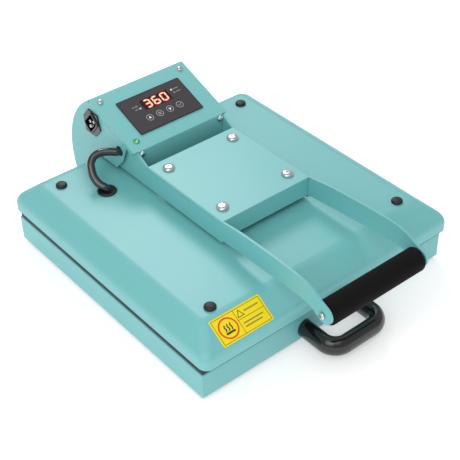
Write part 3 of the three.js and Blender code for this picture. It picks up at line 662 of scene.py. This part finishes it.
def make_platen_bolts():
    pattern = pan_head("bolt", 8, 4.4, 4, 62)
    for i, corner in enumerate(("front_left", "front_right", "rear_left", "rear_right")):
        low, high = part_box(f"platen_bolt_{corner}")
        bolt = copy_of(pattern, f"bolt_{corner}")
        top_of_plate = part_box("channel_plate")[1].z
        place(bolt, Vector(((low.x + high.x) / 2, (low.y + high.y) / 2, top_of_plate + 0.1 * MM)),
              spin=0.4 + 0.7 * i)
        done(bolt, ZINC, "platen", [f"platen_bolt_{corner}"])
    bpy.data.objects.remove(pattern)


make_cover()
make_plugs()
make_grommet()
make_platen_bolts()
softened("heat_platen", "heated_plate", COATED, "platen", 0.6)
finish_cad("heating_element", STEEL)
finish_cad("insulation", WOOL)


def make_springs():
    """The four float springs between the platen and the channel plate: merged copies of the CAD coils,
    each with its own mesh, carried by the arm.
    """
    for corner in ("front_left", "front_right", "rear_left", "rear_right"):
        node = f"float_spring_{corner}"
        spring = copy_of(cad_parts[node], f"spring_{corner}")
        spring.parent = None
        select_only(spring)
        bpy.ops.object.mode_set(mode="EDIT")
        bpy.ops.mesh.select_all(action="SELECT")
        bpy.ops.mesh.remove_doubles(threshold=0.00002)
        leave_edit()
        done(spring, STEEL, "arm", [node], angle=50)
        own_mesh(spring)


make_springs()

LABEL_STEP = 0.12  # how thick each layer of the sticker is
LABEL_HALF = (37.5, 17.5)
LABEL_PLACE = (-134, -188.5, 76.9)


def label_face():
    """Sticker parts, flat on the XY plane: a hot-surface sign with no words."""
    t = LABEL_STEP
    sheet = block("sheet", Vector((-LABEL_HALF[0], -LABEL_HALF[1], 0)) * MM,
                  Vector((*LABEL_HALF, t)) * MM)
    pick_edges(sheet, lambda m, d: abs(d.z) > 0.9)
    round_edges(2.2 * MM, 4)
    leave_edit()
    parts = [painted(sheet, YELLOW)]
    for x, y, width, height in ((0, 15.4, 70, 0.5), (0, -15.4, 70, 0.5), (-35, 0, 0.5, 31),
                                (35, 0, 0.5, 31), (-3.5, 0, 0.5, 31), (15.8, 1.8, 38, 0.5)):
        parts.append(painted(shifted(flat_bar("rule", width, height, t, 0.1), x, y, t), LABEL_BLACK))
    ring = flat_ring("warning_ring", 13.2, 11.2, t, 48)
    parts.append(painted(shifted(ring, -19.2, 0, t), LABEL_RED))
    parts.append(painted(shifted(flat_bar("hot_plate", 13, 2.4, t), -19.2, -5.4, t), LABEL_BLACK))
    for x in (-23.4, -19.2, -15):
        for step, y in enumerate((-1.8, 0.9, 3.6)):
            lean = math.radians(24 if step % 2 else -24)
            wave = shifted(flat_bar("wave", 1.6, 3.4, t), x, y, t, lean)
            parts.append(painted(wave, LABEL_BLACK))
    parts.append(painted(shifted(flat_ring("sign_edge", 6, 4.4, t, 3), 3, 7.4, t), LABEL_BLACK))
    for x, y, width in ((20, 8.8, 21), (15, -4, 29), (13, -8.6, 25)):
        parts.append(painted(shifted(flat_bar("line", width, 1.6, t), x, y, t), LABEL_GREY))
    return parts


def make_label():
    parts = label_face()
    label = join_painted("hot_surface_sign", "platen", parts)
    slope = Matrix.Rotation(math.atan2(COVER_RISE, FRONT_INSET), 4, "X")
    spot = at(*LABEL_PLACE)
    label.matrix_world = Matrix.Translation(spot + slope @ (Z_AXIS * 0.1 * MM)) @ slope
    select_only(label)
    bpy.ops.object.transform_apply(location=True, rotation=True, scale=True)


make_label()


# ---- arm frame ----
def make_grip():
    low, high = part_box("foam_grip")
    half = (high.x - low.x) / 2 / MM
    r = (high.z - low.z) / 2 / MM
    start = half - 2.4  # where the rounded ends begin
    end = [(r - 0.5, half - 0.9), (r - 1.6, half - 0.15), (r - 3, half)]
    other_end = [(radius, -height) for radius, height in reversed(end)]
    middle = [(r, -start + 2 * start * i / 12) for i in range(13)]
    grip = stacked("grip_sleeve", [*other_end, *middle, *end], 64)
    place(grip, (low + high) / 2, (1, 0, 0))
    done(grip, FOAM, "arm", ["foam_grip"])


def make_grip_screws():
    for side, sign in (("left", -1), ("right", 1)):
        low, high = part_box(f"grip_screw_{side}")
        screw = pan_head(f"grip_bolt_{side}", 4.6, 2.8, 3, 20, 36)
        head_x = (high.x if sign > 0 else low.x) - sign * 2.8 * MM
        place(screw, Vector((head_x, (low.y + high.y) / 2, (low.z + high.z) / 2)), (sign, 0, 0))
        done(screw, ZINC, "arm", [f"grip_screw_{side}"])


make_grip()
make_grip_screws()
softened("channel_plate", "spring_channel", MINT, "arm", 0.8, 3)
for side in ("left", "right"):
    softened(f"arm_{side}", f"arm_plate_{side}", MINT, "arm")
finish_cad("grip_tube", STEEL)
finish_cad("rear_tie", STEEL)


# ---- control box ----
def make_small_screws():
    top = pan_head("screw", 4.1, 2.6, 1.8, 4, 32)
    for side, sign, turn in (("left", -1, 0.5), ("right", 1, 1.0)):
        screw = copy_of(top, f"panel_bolt_{side}")
        screw.matrix_world = Matrix.Rotation(turn, 4, "Z")
        select_only(screw)
        bpy.ops.object.transform_apply(location=True, rotation=True, scale=True)
        onto_panel(screw, sign * 66.6, 93, 0.1)
        done(screw, ZINC, "arm", [f"panel_screw_{side}"])
    bpy.data.objects.remove(top)
    front = pan_head("screw", 4.4, 3.4, 1.8, 4, 32)
    for side, sign, turn in (("left", -1, 0.2), ("right", 1, 0.9)):
        screw = copy_of(front, f"lip_bolt_{side}")
        place(screw, at(sign * 65.4, 92.2, 131), (0, -1, 0), turn)
        done(screw, ZINC, "arm", [f"lip_screw_{side}"])
    bpy.data.objects.remove(front)


make_small_screws()
for node, name in (("box_side_left", "case_side_left"), ("box_side_right", "case_side_right"),
                   ("box_wrap", "case_back"), ("front_panel", "case_front")):
    softened(node, name, MINT, "arm", 0.4)
finish_cad("box_floor", STEEL)
finish_cad("controller_board", BOARD)
finish_cad("solid_state_relay", GLOSS_BLACK)
softened("power_inlet", "mains_inlet", GLOSS_BLACK, "arm", 0.3)
softened("rocker_frame", "switch_frame", GLOSS_BLACK, "arm", 0.3)
softened("power_rocker", "switch_rocker", GLOSS_BLACK, "rocker", 0.3)
softened("lead_gland", "lead_collar", RUBBER, "arm", 0.2)


# ---- control panel face ----
OVERLAY_TOP = 1.5
OVERLAY_CENTRE = (1, 50.5)
OVERLAY_SIZE = (104, 60.5)
WINDOW_CENTRE = (2, 61)
KEY_UP = 39.5
KEY_PLACES = {"up": -23.2, "set": -6.7, "down": 9.9, "ok": 26.4}
KEY_RADIUS = 5.7
INK_STEP = 0.06


def make_overlay():
    softened("display_overlay", "overlay_sheet", FILM, "arm", 0.15)
    (x, up), (width, height) = OVERLAY_CENTRE, OVERLAY_SIZE
    rim = 1.3
    parts = []
    for dx, dy, w, h in ((0, 1, width, rim), (0, -1, width, rim),
                         (1, 0, rim, height), (-1, 0, rim, height)):
        bar = flat_bar("edge", w - 0.6, h - 0.6, INK_STEP, 0.2)
        place_x, place_y = x + dx * (width - rim) / 2, up + dy * (height - rim) / 2
        parts.append(painted(shifted(bar, place_x, place_y), FILM_EDGE))
    border = join_painted("overlay_border", "arm", parts)
    onto_panel(border, out=OVERLAY_TOP)
    window = flat_bar("digit_window", 46, 17.5, INK_STEP, 1.0)
    onto_panel(window, *WINDOW_CENTRE, OVERLAY_TOP)
    done(window, WINDOW, "arm")


def segment_places(width, height):
    """Middle and turn of each of the seven bars of a digit."""
    x, y, upright = width / 2, height / 4, math.pi / 2
    return {"top": (0, 2 * y, 0), "middle": (0, 0, 0), "bottom": (0, -2 * y, 0),
            "upper_left": (-x, y, upright), "upper_right": (x, y, upright),
            "lower_left": (-x, -y, upright), "lower_right": (x, -y, upright)}


DIGITS = {
    "3": ("top", "upper_right", "middle", "lower_right", "bottom"),
    "6": ("top", "upper_left", "middle", "lower_left", "lower_right", "bottom"),
    "0": ("top", "upper_left", "upper_right", "lower_left", "lower_right", "bottom"),
}


def make_digits():
    wide, high, pitch = 8.0, 12.4, 13.6
    places = segment_places(wide, high)
    pattern = flat_bar("bar", 5.6, 1.4, INK_STEP, 0.65)
    halo = flat_bar("halo", 7.0, 2.9, INK_STEP, 1.1)
    glows, cores = [], []
    for i, digit in enumerate("360"):
        for bar in DIGITS[digit]:
            x, y, turn = places[bar]
            spot = (WINDOW_CENTRE[0] + (i - 1) * pitch + x, WINDOW_CENTRE[1] + y)
            glows.append(painted(shifted(copy_of(halo, "glow"), *spot, 0, turn), DIGIT))
            cores.append(painted(shifted(copy_of(pattern, "core"), *spot, INK_STEP, turn), DIGIT_CORE))
    bpy.data.objects.remove(pattern)
    bpy.data.objects.remove(halo)
    digits = join_painted("lit_digits", "arm", [*glows, *cores])
    onto_panel(digits, out=OVERLAY_TOP + INK_STEP)


def key_symbol(name, z):
    if name == "up":
        return [painted(shifted(flat_triangle("arrow", 2.7, INK_STEP), z=z), BRIGHT_INK)]
    if name == "down":
        return [painted(shifted(flat_triangle("arrow", 2.7, INK_STEP, math.pi), z=z), BRIGHT_INK)]
    if name == "set":
        bars = [flat_bar("bar", width, 0.8, INK_STEP, 0.1) for width in (4.6, 3.4, 4.6)]
        return [painted(shifted(bar, y=1.5 * (i - 1), z=z), INK) for i, bar in enumerate(bars)]
    short = shifted(flat_bar("tick", 2.4, 0.8, INK_STEP, 0.1), -1.5, -0.6, z, math.radians(-45))
    long = shifted(flat_bar("tick", 4.8, 0.8, INK_STEP, 0.1), 0.9, 0.2, z, math.radians(48))
    return [painted(short, INK), painted(long, INK)]


def make_keys():
    cap = stacked("cap", [(KEY_RADIUS - 0.2, -2), (KEY_RADIUS, -1.8), (KEY_RADIUS, -0.25),
                          (KEY_RADIUS - 0.2, 0)], 48)
    for name, x in KEY_PLACES.items():
        parts = [painted(copy_of(cap, "cap"), FILM)]
        parts.append(painted(flat_ring("ring", 5.3, 4.5, INK_STEP, 48), INK))
        parts.extend(key_symbol(name, 0))
        key = join_painted(f"button_{name}", f"key_{name}_press", parts, [f"key_{name}"])
        onto_panel(key, x, KEY_UP, OVERLAY_TOP + 0.1)
    bpy.data.objects.remove(cap)


def make_lamps():
    """Small marks on each side of the digits: rings, dots and bars."""
    parts = []
    ring, dot = (1.5, 1.0), (1.3, 0.1)
    for x, y, (outer, inner), ink in ((-28.5, 63.5, ring, INK), (-26, 58.2, dot, BRIGHT_INK),
                                      (31.5, 66.5, dot, LAMP), (32.5, 60.8, ring, INK)):
        mark = flat_ring("mark", outer, inner, INK_STEP, 24)
        parts.append(painted(shifted(mark, x, y), ink))
    for x, y, width in ((-33.5, 63.5, 5), (-31.5, 58.2, 5.5), (38.5, 66.5, 8.5), (39.5, 60.8, 8)):
        parts.append(painted(shifted(flat_bar("mark", width, 0.8, INK_STEP, 0.1), x, y), INK))
    marks = join_painted("overlay_marks", "arm", parts)
    onto_panel(marks, out=OVERLAY_TOP)


def make_check_dot():
    dot = flat_ring("dot", 4.9, 4.2, 0.14, 40)
    disc = stacked("disc", [(4.25, 0), (4.25, 0.08), (4.1, 0.1)], 40)
    short = shifted(flat_bar("tick", 2.6, 1.0, 0.06, 0.1), -1.6, -0.7, 0.1, math.radians(-45))
    long = shifted(flat_bar("tick", 5.2, 1.0, 0.06, 0.1), 0.9, 0.2, 0.1, math.radians(48))
    parts = [painted(dot, DOT_GREEN), painted(disc, DOT_GREEN)]
    parts.extend(painted(stroke, BRIGHT_INK) for stroke in (short, long))
    whole = join_painted("inspection_dot", "arm", parts)
    onto_panel(whole, -62.7, 15.1, 0.05)


make_overlay()
make_digits()
make_keys()
make_lamps()
make_check_dot()


INLET_PLACE = (-78, 185.4, 139.7)
INLET_TURN = -50


def make_inlet_pins():
    """Three flat plated pins inside the inlet's well."""
    turn = Matrix.Rotation(math.radians(INLET_TURN), 4, "X")
    for name, y, z in (("live", -7, -2), ("neutral", 7, -2), ("earth", 0, 3)):
        pin = block(f"pin_{name}", Vector((-3.4, y - 1.25, z - 2.2)) * MM,
                    Vector((14, y + 1.25, z + 2.2)) * MM)
        pick_edges(pin, lambda m, d: m.x < -0.003 and abs(d.x) < 0.1)
        round_edges(0.7 * MM, 3)
        leave_edit()
        pin.matrix_world = Matrix.Translation(at(*INLET_PLACE)) @ turn
        select_only(pin)
        bpy.ops.object.transform_apply(location=True, rotation=True, scale=True)
        done(pin, ZINC, "arm")


make_inlet_pins()


# ---- floor and light ----
def make_studio():
    bpy.ops.object.select_all(action="DESELECT")
    bpy.ops.mesh.primitive_plane_add(size=12, location=(0, 0, 0))
    floor = named("studio_floor")
    material = bpy.data.materials.new("studio_white")
    material.use_nodes = True
    shader = material.node_tree.nodes["Principled BSDF"]
    shader.inputs["Base Color"].default_value = (0.93, 0.93, 0.93, 1)
    shader.inputs["Roughness"].default_value = 0.9
    shader.inputs["Emission Color"].default_value = (1, 1, 1, 1)
    shader.inputs["Emission Strength"].default_value = 0.35
    floor.data.materials.append(material)
    world = bpy.data.worlds.new("studio")
    world.use_nodes = True
    world.node_tree.nodes["Background"].inputs["Color"].default_value = (1, 1, 1, 1)
    world.node_tree.nodes["Background"].inputs["Strength"].default_value = 0.52
    bpy.context.scene.world = world
    for name, where, size, power in (("key_light", (0.77, 1.36, 1.54), 0.7, 13),
                                     ("overhead", (-0.9, -0.9, 2.1), 2.2, 17),
                                     ("left_fill", (-1.9, -0.9, 1.4), 1.4, 11)):
        light = bpy.data.lights.new(name, "AREA")
        light.energy = power
        light.size = size
        lamp = bpy.data.objects.new(name, light)
        aim = (Vector((0, 0, 0.1)) - Vector(where)).to_track_quat("-Z", "Y")
        lamp.matrix_world = Matrix.Translation(where) @ aim.to_matrix().to_4x4()
        bpy.context.scene.collection.objects.link(lamp)
    bpy.context.scene.view_settings.view_transform = "Standard"


make_studio()
